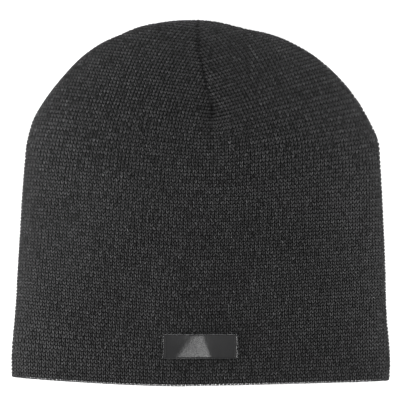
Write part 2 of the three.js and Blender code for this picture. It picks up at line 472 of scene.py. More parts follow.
@dataclass(frozen=True)
class Grain:
    """One slanted, plump leg of yarn: two tips and rings between them, along a bent line.

    The line's places are in wales across and courses up, and its heights in millimetres. Each ring is an
    ellipse of the leg's thickness and depth, smaller towards the tips.
    """

    across: tuple[float, float, float] = (0.05, 0.225, 0.39)
    up: tuple[float, float, float] = (-0.58, -0.02, 0.54)
    height: tuple[float, float, float] = (-0.40, 0.12, -0.55)
    thickness: float = 0.35
    depth: float = 0.36
    rings: tuple[float, ...] = (0.28, 0.74)
    sides: int = 5
    pitch: tuple[float, float] = (2.15, 1.97)
    look: float = 0.01

    def line(self, share: Array) -> Array:
        """The bent line: a parabola through its start, middle and end."""
        places = np.array([self.across, self.up, self.height]).T
        start, middle, end = places[0], places[1], places[2]
        share = share[:, None]
        first = start * (1 - share) * (1 - 2 * share)
        second = middle * 4 * share * (1 - share)
        return first + second + end * share * (2 * share - 1)

    def painted_tip_shade(self) -> Array:
        """Painted shade for each point, where the yarn dives under the yarn around it: full at the tips."""
        share = np.repeat(np.array(self.rings), self.sides)
        return np.concatenate([[1.0], (2 * share - 1) ** 2, [1.0]])

    def points(self) -> Array:
        """The leg's points, in wales, courses and millimetres."""
        share = np.array(self.rings)
        middle = self.line(share)
        scale = np.array([self.pitch[0], self.pitch[1], 1.0])
        along = (self.line(share + self.look) - self.line(share - self.look)) * scale
        along /= np.linalg.norm(along, axis=1, keepdims=True)
        beside = np.cross(along, [0.0, 0.0, 1.0])
        beside /= np.linalg.norm(beside, axis=1, keepdims=True)
        over = np.cross(beside, along)
        angle = np.arange(self.sides) * 2 * math.pi / self.sides + math.pi / 2
        swell = np.sqrt(np.sin(math.pi * share))[:, None, None]
        ring = (
            beside[:, None] * np.cos(angle)[None, :, None] * self.thickness
            + over[:, None] * np.sin(angle)[None, :, None] * self.depth
        ) * swell
        rings = middle[:, None] + ring / scale
        tips = self.line(np.array([0.0, 1.0]))
        return np.concatenate([tips[:1], rings.reshape(-1, 3), tips[1:]])

    def faces(self) -> Array:
        """The leg's triangles: a fan, bands between rings, and a fan."""
        side = np.arange(self.sides)
        after = (side + 1) % self.sides
        last = 1 + len(self.rings) * self.sides
        parts = [np.stack([np.zeros(self.sides, int), 1 + after, 1 + side], -1)]
        for ring in range(len(self.rings) - 1):
            low, high = 1 + ring * self.sides, 1 + (ring + 1) * self.sides
            parts.append(np.stack([low + side, low + after, high + after], -1))
            parts.append(np.stack([low + side, high + after, high + side], -1))
        low = last - self.sides
        parts.append(np.stack([low + side, low + after, np.full(self.sides, last)], -1))
        return np.concatenate(parts)


@dataclass(frozen=True)
class Band:
    """A run of courses that is one piece, on one face of the hat."""

    name: str
    layer: Layer
    first: int
    last: int
    grain: Grain
    # How strongly painted shade darkens the tips of this band's legs.
    painted_shade_strength: float = 0.8
    spread: float = 1.0


@dataclass
class Knitting:
    """Where the wales and courses run, and the yarn legs of each stitch."""

    form: LyingForm
    maker: MeshMaker
    wale: float = 2.17
    spare_wales: int = 7
    course: float = 1.96
    growth: float = 0.03
    growth_from: float = 115.0
    growth_over: float = 60.0
    twist: float = math.radians(3.0)
    lean_left: tuple[float, float, float] = (math.radians(21.0), math.radians(35.0), math.radians(17.5))
    lean_right: tuple[float, float, float] = (math.radians(31.0), math.radians(42.0), math.radians(21.0))
    lean_over: float = 60.0
    lean_rise: float = 48.0
    dome_from: float = 110.0
    dome_full: float = 178.0
    dome_near: tuple[float, float] = (150.0, 7.0)
    spread_limit: float = 1.2
    foot_y: float = 155.0
    foot_rise: float = 7.0
    turn_width: tuple[float, float] = (2.5, 50.0)
    turn_rise: float = 46.0
    bow_width: tuple[float, float] = (20.0, 18.5)
    bow_narrows: tuple[float, float] = (118.0, 37.0)
    bow_steepens: tuple[float, float] = (80.0, 100.0)
    bow_from_rim: float = 40.0
    bow_left: tuple[float, float] = (math.radians(4.0), math.radians(9.0))
    bow_right: tuple[float, float] = (math.radians(2.5), math.radians(17.5))
    step: float = 0.5
    top: float = 214.0
    edge_slack: float = 0.2
    crown_slack: float = 1e-4
    uneven_size: float = 0.06
    uneven_place: float = 0.03
    uneven_height: float = 0.05
    stitch_share: float = 0.75
    leg_share: float = 0.65
    map_margins: tuple[float, float] = (1.2, 1.4)
    seed: int = 11
    seed_shift: int = 100
    edges: dict[Layer, tuple[Array, Array]] = field(init=False)
    lines: dict[Layer, Array] = field(init=False)
    homes: dict[Layer, Array] = field(init=False)

    def __post_init__(self) -> None:
        """Works out the wales of both faces."""
        self.edges = {}
        self.lines = {}
        self.homes = {}
        rise = np.arange(0.0, self.top + self.step, self.step)
        for layer in Layer:
            left = self.form.edge_of_cloth(-1.0, layer)
            right = self.form.edge_of_cloth(1.0, layer)
            self.edges[layer] = (
                np.interp(rise, left[:, 1], left[:, 0]),
                np.interp(rise, right[:, 1], right[:, 0]),
            )
            self.lines[layer] = self.follow(rise, layer)
            at_foot = self.lines[layer][:, int(self.foot_y / self.step)]
            self.homes[layer] = np.where(at_foot < self.form.middle_x(np.array(self.foot_y)), -1.0, 1.0)

    def follow(self, rise: Array, layer: Layer) -> Array:
        """Follows each half wale up from the rim.

        Low on the hat a wale keeps its share of the width, with a slight twist of the whole tube. Near the
        dart it leans to the dart, most steeply close by.

        Args:
            rise: heights on the flattened cloth, evenly spaced.
            layer: upper or lower cloth.

        Returns:
            The place across of each half wale at each height.
        """
        left, right = self.edges[layer]
        middle, half = (left + right) / 2, (right - left) / 2
        middle_slope = np.gradient(middle, self.step)
        half_slope = np.gradient(half, self.step)
        count = 2 * (int(half[0] / self.wale) + self.spare_wales)
        at = middle[0] + np.arange(-count, count + 1) * self.wale / 2
        found = [at]
        home = np.zeros_like(at)
        for row, y in enumerate(rise[:-1]):
            spread = (at - middle[row]) / max(half[row], 1.0)
            spread = np.clip(spread, -self.spread_limit, self.spread_limit)
            low = middle_slope[row] + half_slope[row] * spread + layer.value * math.tan(self.twist)
            least, more = self.turn_width
            width = least + more * float(smooth(np.array((self.foot_y - y) / self.turn_rise)))
            off = at - float(self.form.middle_x(np.array(y)))
            if y < self.foot_y:
                home = np.where(off < 0, -1.0, 1.0)
            foot, crown, far = np.where(home[:, None] < 0, self.lean_left, self.lean_right).T
            near = foot + (crown - foot) * smooth(np.array((y - self.foot_y) / self.lean_rise))
            lean = near + (far - near) * smooth(np.abs(off) / self.lean_over)
            past_foot = float(smooth(np.array((y - self.foot_y) / self.foot_rise)))
            high = -np.tan(lean) * ((1 - past_foot) * np.tanh(off / width) + past_foot * home)
            near_full, near_reach = self.dome_near
            full = self.dome_full - (self.dome_full - near_full) * np.exp(-((off / near_reach) ** 2))
            blend = smooth((y - self.dome_from) / (full - self.dome_from))
            at = at + self.step * ((1 - blend) * low + blend * high)
            found.append(at)
        return np.stack(found, -1)

    def grown(self, travel: Array) -> Array:
        """The way up after the courses' growth towards the crown: the integral of a smooth step."""
        share = np.maximum((travel - self.growth_from) / self.growth_over, 0.0)
        gained = np.where(share < 1.0, share**3 - share**4 / 2, share - 0.5)
        return travel + self.growth * self.growth_over * gained

    def across(self, wale: Array, y: Array, layer: Layer) -> Array:
        """The place across of half wales at heights of the flattened cloth, between the followed steps."""
        at = np.clip(y / self.step, 0, self.lines[layer].shape[1] - 1.001)
        low = at.astype(int)
        part = at - low
        lines = self.lines[layer]
        return lines[wale, low] * (1 - part) + lines[wale, low + 1] * part

    def lattice(self, first: int, last: int, layer: Layer) -> tuple[Array, Array]:
        """The crossings of half wales and half courses.

        Courses bow: each is a hyperbola, lowest in the middle, and steeper towards the crown.

        Args:
            first: first course, below 0 round the rim and up the inside.
            last: course after the last.
            layer: upper or lower cloth.

        Returns:
            The place across and the way up of each crossing.
        """
        count = len(self.lines[layer])
        half_courses = np.arange(2 * first, 2 * last + 1)
        travel = self.grown(half_courses * self.course / 2)[None, :].repeat(count, 0)
        wale = np.arange(count)[:, None].repeat(travel.shape[1], 1)
        round_rim = math.pi * self.form.wall / 2
        up = np.maximum(np.maximum(travel, 0.0), -travel - round_rim)
        wide, less = self.bow_width
        width = wide - less * smooth((up - self.bow_narrows[0]) / self.bow_narrows[1])
        steep = smooth((up - self.bow_steepens[0]) / self.bow_steepens[1])
        bowed = up
        for _ in range(4):
            x = self.across(wale, bowed, layer)
            off = x - self.form.middle_x(bowed)
            low, high = np.moveaxis(np.where(off[..., None] < 0, self.bow_left, self.bow_right), -1, 0)
            slope = np.tan(low + (high - low) * steep) * smooth(up / self.bow_from_rim)
            bowed = up + slope * (np.hypot(off, width) - width)
        way = travel + np.where(travel >= 0, bowed - up, up - bowed)
        return x, way

    def stands(self, x: Array, way: Array, layer: Layer) -> Array:
        """True where a stitch is on the cloth: inside its edges, and no further than the dart's seam."""
        flat = np.stack([x, np.maximum(way, 0.0) + self.form.wall / 2], -1)
        place, side, travel = self.form.locate(flat)
        inside = travel < self.form.cloth_reach(place, side, layer) + self.edge_slack
        below_crown = place < self.form.last - self.crown_slack
        past = -self.homes[layer][1::2, None] * (x - self.form.middle_x(flat[..., 1]))
        return inside & below_crown & ((flat[..., 1] < self.foot_y) | (past < self.wale / 2))

    def tuck(self, points: Array, home: Array, layer: Layer) -> Array:
        """Turns what would pass the dart's line down into its seam.

        Args:
            points: points of the yarn, in the plan and height.
            home: the side of the dart that each belongs to, -1 left and 1 right.
            layer: upper or lower cloth.

        Returns:
            The points, none past the line above the dart's foot.
        """
        y = points[..., 1]
        past = np.maximum(-home * (points[..., 0] - self.form.middle_x(y)), 0.0) * (y > self.foot_y)
        return points + np.stack([home * past, np.zeros_like(past), -layer.value * past], -1)

    def stitch(self, band: Band) -> bpy.types.Object:
        """Every yarn leg of a band of courses, as one piece.

        Args:
            band: the courses, the face and the leg.

        Returns:
            The piece.
        """
        x, way = self.lattice(band.first, band.last, band.layer)
        points = self.form.wrap(x, way, band.layer)
        centre = points[1::2, 1::2]
        across = points[2::2, 1::2] - points[:-2:2, 1::2]
        below = points[1::2, :-2:2]
        ahead = self.stands(x[1::2, 2::2], way[1::2, 2::2], band.layer)
        up = np.where(ahead[..., None], points[1::2, 2::2] - below, 2 * (centre - below))
        out = np.cross(across, up)
        out /= np.linalg.norm(out, axis=-1, keepdims=True)
        out *= band.layer.value
        kept = self.stands(x[1::2, 1::2], way[1::2, 1::2], band.layer)
        wale, course = np.nonzero(kept)
        centre, across, up, out = (part[kept] for part in (centre, across, up, out))
        chance = np.random.default_rng((self.seed, band.first + self.seed_shift, band.layer.value + 1))
        count = len(centre)
        places, tints, maps, faces = [], [], [], []
        leg_points, leg_faces = band.grain.points(), band.grain.faces()
        stitch_tint = chance.normal(0.0, 1.0, count)
        home = self.homes[band.layer][1::2][wale]
        wales = x.shape[0] // 2
        for hand in (-1.0, 1.0):
            grown = 1.0 + self.uneven_size * chance.normal(0.0, 1.0, (count, 1))
            shift = self.uneven_place * chance.normal(0.0, 1.0, (count, 1))
            a = hand * leg_points[None, :, 0] * grown + shift
            b = leg_points[None, :, 1] + self.uneven_place * chance.normal(0.0, 1.0, (count, 1))
            c = leg_points[None, :, 2] + self.uneven_height * chance.normal(0.0, 1.0, (count, 1))
            placed = (
                centre[:, None]
                + a[..., None] * across[:, None]
                + b[..., None] * up[:, None]
                + c[..., None] * out[:, None]
            )
            placed = self.tuck(placed, home[:, None], band.layer)
            placed[..., 2] = np.maximum(placed[..., 2], 0.0)
            places.append(placed.reshape(-1, 3))
            leg_tint = chance.normal(0.0, 1.0, count)
            tint = band.spread * (self.stitch_share * stitch_tint + self.leg_share * leg_tint)
            tints.append(np.repeat(tint, len(leg_points)))
            u = (wale[:, None] + 0.5 + a) / wales
            margin, both_margins = self.map_margins
            v = (course[:, None] + margin + b) / (band.last - band.first + both_margins)
            maps.append(np.stack([u, v], -1).reshape(-1, 2))
            turned = leg_faces if hand * band.layer.value > 0 else leg_faces[:, ::-1]
            start = (np.arange(count) + (0 if hand < 0 else count)) * len(leg_points)
            faces.append((start[:, None, None] + turned[None]).reshape(-1, 3))
        made = self.maker.make(band.name, np.concatenate(places), np.concatenate(faces))
        self.maker.map_corners(made, "OFBake", np.concatenate(maps))
        self.maker.values(made, "tint", np.concatenate(tints))
        # The depth values are painted shade: they darken the yarn's colour towards each leg's tips.
        self.maker.values(made, "depth", np.tile(band.grain.painted_tip_shade(), 2 * count) * band.painted_shade_strength)
        return made


@dataclass
class KnitWall:
    """The cloth under the stitches: a closed wall, hollow and open at the rim. Its darker colour is painted
    shade.
    """

    form: LyingForm
    maker: MeshMaker
    cover: float = 0.85
    edge_cover: float = 0.30
    cover_fades: float = 0.35
    top_steps: int = 26
    fold_steps: int = 6
    under_steps: int = 12
    rim_steps: int = 8
    places: int = 104
    crown_places: int = 40
    crown_from: float = 12.5

    def inset(self, from_edge: float, outer: bool) -> float:
        """How far inside the hat's face the wall's is. The stitches cover it less deeply at the edge."""
        cover = self.edge_cover + (self.cover - self.edge_cover) * float(smooth(np.array(from_edge)))
        return cover if outer else self.form.wall - cover

    def half(self, place: Array, side: float, outer: bool) -> Array:
        """Half of each section: over the top to the edge, round the fold, and back underneath."""
        sides = np.full_like(place, side)
        _, _, reach, _ = self.form.rays(place, sides)
        turns = np.linspace(0.0, QUARTER, self.top_steps + 1)
        top = []
        for turn in turns:
            inset = self.inset(math.cos(turn) / self.cover_fades, outer)
            top.append(self.form.upper(place, sides, np.full_like(place, turn), inset))
        flat = reach - self.form.fold
        arc = self.form.fold * QUARTER
        back = np.linspace(arc, 0.0, self.fold_steps + 1)[1:]
        fold = [self.form.lower(place, sides, flat + b, self.inset(1 - b / arc, outer)) for b in back]
        shares = np.linspace(1.0, 0.0, self.under_steps + 1)[1:]
        under = [self.form.lower(place, sides, flat * share, self.inset(1.0, outer)) for share in shares]
        return np.stack(top + fold + under, 1)

    def loops(self, place: Array, outer: bool) -> Array:
        """Whole sections: over the right half, underneath, and back over the left half."""
        right = self.half(place, 1.0, outer)
        left = self.half(place, -1.0, outer)
        return np.concatenate([right, left[:, 1:-1][:, ::-1]], 1)

    def build(self) -> bpy.types.Object:
        """The wall, up the inside from the rim and down the outside to it."""
        place = np.concatenate([
            np.linspace(0.0, self.crown_from, self.places, endpoint=False),
            np.linspace(self.crown_from, self.form.last, self.crown_places),
        ])
        outside = self.loops(place, True)
        inside = self.loops(place, False)
        middle = (outside[0] + inside[0]) / 2
        half = (outside[0] - inside[0]) / 2
        turns = np.linspace(0.0, math.pi, self.rim_steps + 1)[1:-1]
        rim = middle + half * np.cos(turns)[:, None, None]
        rim[..., 1] -= np.linalg.norm(half, axis=-1) * np.sin(turns)[:, None]
        loops = np.concatenate([outside[::-1], rim, inside])
        faces = grid_faces(len(loops), loops.shape[1], closed=True)[:, ::-1]
        return self.maker.make("knit_wall", loops.reshape(-1, 3), faces, merge=True)


@dataclass
class SeamThread:
    """The sewing thread of a seam: short slanted stitches along the bottom of its groove."""

    maker: MeshMaker
    length: float = 2.0
    pitch: float = 2.3
    thick: float = 0.36
    slant: float = 0.35
    arch: float = 0.25
    sink: float = 0.1
    look: float = 0.5
    sides: int = 6
    rings: int = 5

    def run(self, name: str, line: Array, out: Array) -> bpy.types.Object:
        """Stitches along a line.

        Args:
            name: the piece's name.
            line: points along the groove.
            out: the way out of the cloth at each of them.

        Returns:
            The piece.
        """
        steps = np.linalg.norm(np.diff(line, axis=0), axis=1)
        gone = np.concatenate([[0.0], np.cumsum(steps)])
        count = int(gone[-1] / self.pitch)
        centres = (np.arange(count) + 0.5) * gone[-1] / count
        centre, outward = on_line(line, gone, centres), on_line(out, gone, centres)
        along = on_line(line, gone, centres + self.look) - on_line(line, gone, centres - self.look)
        along /= np.linalg.norm(along, axis=1, keepdims=True)
        outward -= (outward * along).sum(1, keepdims=True) * along
        outward /= np.linalg.norm(outward, axis=1, keepdims=True)
        beside = np.cross(along, outward)
        way = along * math.cos(self.slant) + beside * math.sin(self.slant)
        side = np.cross(way, outward)
        share = np.linspace(0.0, 1.0, self.rings + 2)[1:-1]
        swell = self.thick * np.sqrt(np.sin(math.pi * share))
        rise = self.arch * np.sin(math.pi * share) - self.sink
        angle = np.arange(self.sides) * 2 * math.pi / self.sides
        middle = (
            centre[:, None]
            + way[:, None] * ((share - 0.5) * self.length)[None, :, None]
            + outward[:, None] * rise[None, :, None]
        )
        ring = (
            side[:, None, None] * np.cos(angle)[None, None, :, None]
            + outward[:, None, None] * np.sin(angle)[None, None, :, None]
        ) * swell[None, :, None, None]
        rings = (middle[:, :, None] + ring).reshape(count, -1, 3)
        ends = [centre + way * (self.length / 2 * sign) - outward * self.sink for sign in (-1.0, 1.0)]
        points = np.concatenate([ends[0][:, None], rings, ends[1][:, None]], 1)
        grain = Grain(rings=tuple(share), sides=self.sides)
        faces = np.arange(count)[:, None, None] * points.shape[1] + grain.faces()[None, :, ::-1]
        return self.maker.make(name, points.reshape(-1, 3), faces.reshape(-1, 3))


@dataclass
class SatinLabel:
    """The satin tab above the rim, sewn down at its two ends.

    What the real tab folds under at its ends isn't modelled.
    """

    form: LyingForm
    maker: MeshMaker
    left: float = -21.1
    right: float = 21.0
    low: float = 15.8
    high: float = 29.8
    gap: float = 0.3
    thick: float = 0.42
    hem: float = 2.3
    end_round: tuple[float, float] = (0.05, 0.35)
    side_round: float = 0.3
    bead: float = 0.24
    bead_at: float = 0.5
    bead_width: float = 0.28
    ridge: float = 1.3
    ridge_from: tuple[float, float] = (-15.1, -2.7)
    ridge_to: tuple[float, float] = (6.5, 1.3)
    ridge_soft: tuple[float, float] = (6.0, 4.0)
    across_steps: int = 130
    up_steps: int = 44
    under_lift: float = 0.9
    sewn_at: float = 0.62
    sewn_margin: float = 0.5
    sewn_points: int = 12
    face: Array = field(init=False)

    def surface(self, x: Array, y: Array) -> Array:
        """The cloth under the tab, from its ray and the way along it."""
        plan = np.stack([x, y], -1)
        place, side, travel = self.form.locate(plan)
        _, _, reach, loft = self.form.rays(place, side)
        share = np.clip(travel / reach, 0.0, 1.0)
        wave = self.form.waves(plan) * smooth(y / self.form.wave_from_rim)
        return self.form.fold + (loft - self.form.fold) * np.sqrt(1 - share**2) + wave

    def wave(self, x: Array, up: Array) -> Array:
        """How far the tab stands up between its sewn ends, in a ridge with a level top.

        The slope is integrated along the tab: it climbs up to one slanting line, stays level, and falls
        after another. The level part is a wedge, wide at the tab's lower side.

        Args:
            x: places along the tab, a row for each.
            up: share of the way up the tab.

        Returns:
            The heights.
        """
        start = self.ridge_from[0] + (self.ridge_from[1] - self.ridge_from[0]) * up
        end = self.ridge_to[0] + (self.ridge_to[1] - self.ridge_to[0]) * up
        step = np.gradient(x, axis=0)
        climb = np.cumsum(step * smooth((start - x) / self.ridge_soft[0] + 0.5), axis=0)
        fall = np.cumsum(step * smooth((x - end) / self.ridge_soft[1] + 0.5), axis=0)
        return self.ridge * (climb / climb[-1:] - fall / fall[-1:])

    def rounded(self, off: Array, radius: float) -> Array:
        """The share of the thickness near an edge: a quarter circle of a radius."""
        return np.sqrt(1 - (1 - np.clip(off / radius, 0.0, 1.0)) ** 2)

    def build(self) -> bpy.types.Object:
        """The tab as a thin closed sheet that stands up in a ridge between its sewn ends."""
        across = (1 - np.cos(np.linspace(0.0, math.pi, self.across_steps + 1))) / 2
        up = (1 - np.cos(np.linspace(0.0, math.pi, self.up_steps + 1))) / 2
        s, t = np.meshgrid(across, up, indexing="ij")
        x = self.left + (self.right - self.left) * s
        y = self.low + (self.high - self.low) * t
        ground = self.surface(x, y) + self.gap
        from_left, from_right = x - self.left, self.right - x
        from_side = (self.high - self.low) * np.minimum(t, 1 - t)
        ends = self.rounded(from_left, self.end_round[0]) * self.rounded(from_right, self.end_round[1])
        body = self.thick * ends * self.rounded(from_side, self.side_round)
        beads = self.bead * np.exp(-(((from_side - self.bead_at) / self.bead_width) ** 2))
        wave = self.wave(x, t)
        self.face = np.stack([x, y, ground + body + beads * ends + wave], -1)
        lower = np.stack([x, y, ground + self.under_lift * wave], -1)
        loops = np.concatenate([self.face, lower[:, ::-1]], 1)
        size = loops.shape[1]
        faces = grid_faces(len(loops), size, closed=True)[:, ::-1]
        row = np.arange(self.up_steps)
        cap = np.stack([row, row + 1, size - 2 - row, size - 1 - row], -1)
        end = (len(loops) - 1) * size
        faces = np.concatenate([faces, cap[:, ::-1], end + cap])[:, ::-1]
        made = self.maker.make("label_tab", loops.reshape(-1, 3), faces)
        plan = np.stack([x, y], -1)
        both_sides = np.concatenate([plan, plan[:, ::-1]], 1)
        self.maker.map_corners(made, "weave", both_sides.reshape(-1, 2))
        return made

    def sewing(self, thread: SeamThread) -> list[bpy.types.Object]:
        """A row of small stitches down each end, where the real tab is folded."""
        inward = self.hem * self.sewn_at
        y = np.linspace(self.low + self.sewn_margin, self.high - self.sewn_margin, self.sewn_points)
        out = np.tile([0.0, 0.0, 1.0], (self.sewn_points, 1))
        made = []
        for number, x in enumerate((self.left + inward, self.right - inward), 1):
            column = self.face[np.abs(self.face[:, 0, 0] - x).argmin()]
            height = np.interp(y, column[:, 1], column[:, 2])
            row = np.stack([np.full_like(y, column[0, 0]), y, height], -1)
            made.append(thread.run(f"label_sewing_{number}", row, out))
        return made


def set_inputs(node: bpy.types.Node, values: dict[str, object]) -> None:
    """Sets inputs of a node by their names."""
    for name, value in values.items():
        node.inputs[name].default_value = value


class NodeGraph:
    """Adds nodes to a material or a shader group, and links them."""

    def __init__(self, tree: bpy.types.NodeTree) -> None:
        """Holds the tree that the nodes go into."""
        self.tree = tree

    def add(self, kind: str, **settings: object) -> bpy.types.Node:
        """A node of a kind, with its settings."""
        node = self.tree.nodes.new(kind)
        for name, value in settings.items():
            setattr(node, name, value)
        return node

    def link(self, source: bpy.types.NodeSocket, target: bpy.types.NodeSocket) -> None:
        """Links one socket to another."""
        self.tree.links.new(source, target)

    def math(self, operation: str, first: object, second: object = None) -> bpy.types.NodeSocket:
        """A Math node's result, from sockets or numbers."""
        node = self.add("ShaderNodeMath", operation=operation)
        for index, value in enumerate((first, second)):
            if isinstance(value, bpy.types.NodeSocket):
                self.link(value, node.inputs[index])
            elif value is not None:
                node.inputs[index].default_value = value
        return node.outputs[0]

    def bump(self, height: object, strength: float, distance: float, shader: bpy.types.Node) -> None:
        """Bumps on a shader, from a height."""
        node = self.add("ShaderNodeBump")
        set_inputs(node, {"Strength": strength, "Distance": distance})
        self.link(height, node.inputs["Height"])
        self.link(node.outputs["Normal"], shader.inputs["Normal"])


def new_material(name: str) -> tuple[bpy.types.Material, NodeGraph, bpy.types.Node]:
    """A material, the graph that adds to it, and its shader."""
    material = bpy.data.materials.new(name)
    material.use_nodes = True
    return material, NodeGraph(material.node_tree), material.node_tree.nodes["Principled BSDF"]


# The noises of the yarn: repeats in a metre, the input that sets how strong each is, and its detail.
YARN_NOISES = ((1500.0, "Fleck", 2.0), (330.0, "Slub", 1.0), (95.0, "Cloud", 2.0))
DARKEST_FIBRE = 0.15
# The least that painted shade leaves of the yarn's colour.
DARKEST_IN_PAINTED_SHADE = 0.02


def heather_group() -> bpy.types.NodeTree:
    """Fibres of lighter and darker yarn: three noises on Object coordinates, and each leg's own tint.

    Returns:
        The group, with a brightness factor that carries painted shade from depth, and a height for bumps.
    """
    group = bpy.data.node_groups.new("heathered_yarn", "ShaderNodeTree")
    face = group.interface
    for name in ("Fleck", "Slub", "Cloud", "Stitch", "Tint", "Painted_shade_strength", "Depth"):
        face.new_socket(name=name, in_out="INPUT", socket_type="NodeSocketFloat").default_value = 0.0
    face.new_socket(name="Factor", in_out="OUTPUT", socket_type="NodeSocketFloat")
    face.new_socket(name="Height", in_out="OUTPUT", socket_type="NodeSocketFloat")
    graph = NodeGraph(group)
    given, result = graph.add("NodeGroupInput"), graph.add("NodeGroupOutput")
    place = graph.add("ShaderNodeTexCoord")
    parts = []
    for scale, socket, detail in YARN_NOISES:
        noise = graph.add("ShaderNodeTexNoise")
        set_inputs(noise, {"Scale": scale, "Detail": detail})
        graph.link(place.outputs["Object"], noise.inputs["Vector"])
        centred = graph.math("SUBTRACT", noise.outputs["Fac"], 0.5)
        parts.append(graph.math("MULTIPLY", centred, given.outputs[socket]))
        if socket == "Fleck":
            graph.link(noise.outputs["Fac"], result.inputs["Height"])
    parts.append(graph.math("MULTIPLY", given.outputs["Tint"], given.outputs["Stitch"]))
    total = graph.math("ADD", graph.math("ADD", parts[0], parts[1]), graph.math("ADD", parts[2], parts[3]))
    factor = graph.math("MAXIMUM", graph.math("ADD", total, 1.0), DARKEST_FIBRE)
    # Painted shade: the depth values darken the yarn towards the tips of each leg.
    painted_shade_strength = graph.math("MULTIPLY", given.outputs["Depth"], given.outputs["Painted_shade_strength"])
    shown = graph.math("MAXIMUM", graph.math("SUBTRACT", 1.0, painted_shade_strength), DARKEST_IN_PAINTED_SHADE)
    graph.link(graph.math("MULTIPLY", factor, shown), result.inputs["Factor"])
    return group


@dataclass(frozen=True)
class YarnFinish:
    """Spun yarn: matt, heathered, with a soft bloom of fibre ends at grazing angles, and painted shade at
    leg tips.
    """

    name: str
    colour: tuple[float, float, float]
    fleck: float = 0.9
    slub: float = 0.6
    cloud: float = 0.55
    stitch: float = 0.33
    # How strongly painted shade darkens the legs' tips.
    painted_shade_strength: float = 0.88
    roughness: float = 0.92
    sheen: float = 0.045
    sheen_roughness: float = 0.5
    bump: float = 0.0001
    bump_strength: float = 0.5
    specular: float = 0.19

    def build(self, heather: bpy.types.NodeTree) -> bpy.types.Material:
        """The material, from the shared heather group."""
        material, graph, shader = new_material(self.name)
        group = graph.add("ShaderNodeGroup", node_tree=heather)
        for socket in ("Fleck", "Slub", "Cloud", "Stitch", "Painted_shade_strength"):
            group.inputs[socket].default_value = getattr(self, socket.lower())
        # The depth attribute brings painted shade; tint is each leg's own random tone.
        for socket in ("Tint", "Depth"):
            own = graph.add("ShaderNodeAttribute", attribute_name=socket.lower())
            graph.link(own.outputs["Fac"], group.inputs[socket])
        colour = graph.add("ShaderNodeMix", data_type="RGBA", blend_type="MULTIPLY")
        set_inputs(colour, {"Factor": 1.0, "A": (*self.colour, 1.0)})
        graph.link(group.outputs["Factor"], colour.inputs["B"])
        graph.link(colour.outputs["Result"], shader.inputs["Base Color"])
        graph.bump(group.outputs["Height"], self.bump_strength, self.bump, shader)
        set_inputs(shader, {
            "Roughness": self.roughness,
            "Sheen Weight": self.sheen,
            "Sheen Roughness": self.sheen_roughness,
            "Specular IOR Level": self.specular,
        })
        return material


@dataclass(frozen=True)
class SatinFinish:
    """Woven satin: fine crosswise floats, glossy, clouded between two close shades of black."""

    name: str = "black_satin"
    colour: tuple[float, float, float] = (0.0045, 0.0045, 0.0048)
    shades: tuple[float, float] = (0.75, 1.3)
    roughness: float = 0.21
    rough_spread: float = 0.08
    pitch: float = 0.33
    bands_in_unit: float = 3.18
    distortion: float = 1.4
    detail: float = 2.0
    cloud_scale: float = 0.55
    cloud_detail: float = 4.0
    bump: float = 0.00005
    bump_strength: float = 0.25
    specular: float = 0.33

    def build(self) -> bpy.types.Material:
        """The material: bands of floats on the tab's own map, in millimetres."""
        material, graph, shader = new_material(self.name)
        place = graph.add("ShaderNodeUVMap", uv_map="weave")
        wave = graph.add("ShaderNodeTexWave", bands_direction="Y")
        set_inputs(wave, {
            "Scale": 1.0 / (self.pitch * self.bands_in_unit),
            "Distortion": self.distortion,
            "Detail": self.detail,
            "Detail Scale": self.detail,
        })
        graph.link(place.outputs["UV"], wave.inputs["Vector"])
        noise = graph.add("ShaderNodeTexNoise")
        set_inputs(noise, {"Scale": self.cloud_scale, "Detail": self.cloud_detail})
        graph.link(place.outputs["UV"], noise.inputs["Vector"])
        colour = graph.add("ShaderNodeMix", data_type="RGBA")
        for side, shade in zip("AB", self.shades, strict=True):
            set_inputs(colour, {side: (*(part * shade for part in self.colour), 1.0)})
        graph.link(noise.outputs["Fac"], colour.inputs["Factor"])
        graph.link(colour.outputs["Result"], shader.inputs["Base Color"])
        spread = graph.math("MULTIPLY", wave.outputs["Fac"], self.rough_spread)
        rough = graph.math("ADD", spread, self.roughness - self.rough_spread / 2)
        graph.link(rough, shader.inputs["Roughness"])
        graph.bump(wave.outputs["Fac"], self.bump_strength, self.bump, shader)
        set_inputs(shader, {"Specular IOR Level": self.specular})
        return material


@dataclass(frozen=True)
class SoftBox:
    """A rectangular studio light that faces the hat."""

    name: str
    place: tuple[float, float, float]
    size: tuple[float, float]
    power: float

    def build(self, target: Vector) -> bpy.types.Object:
        """The light, turned to the target."""
        data = bpy.data.lights.new(self.name, "AREA")
        data.shape = "RECTANGLE"
        data.size, data.size_y = self.size
        data.energy = self.power
        made = in_scene(self.name, data)
        made.location = self.place
        made.rotation_euler = (target - Vector(self.place)).to_track_quat("-Z", "Y").to_euler()
        return made


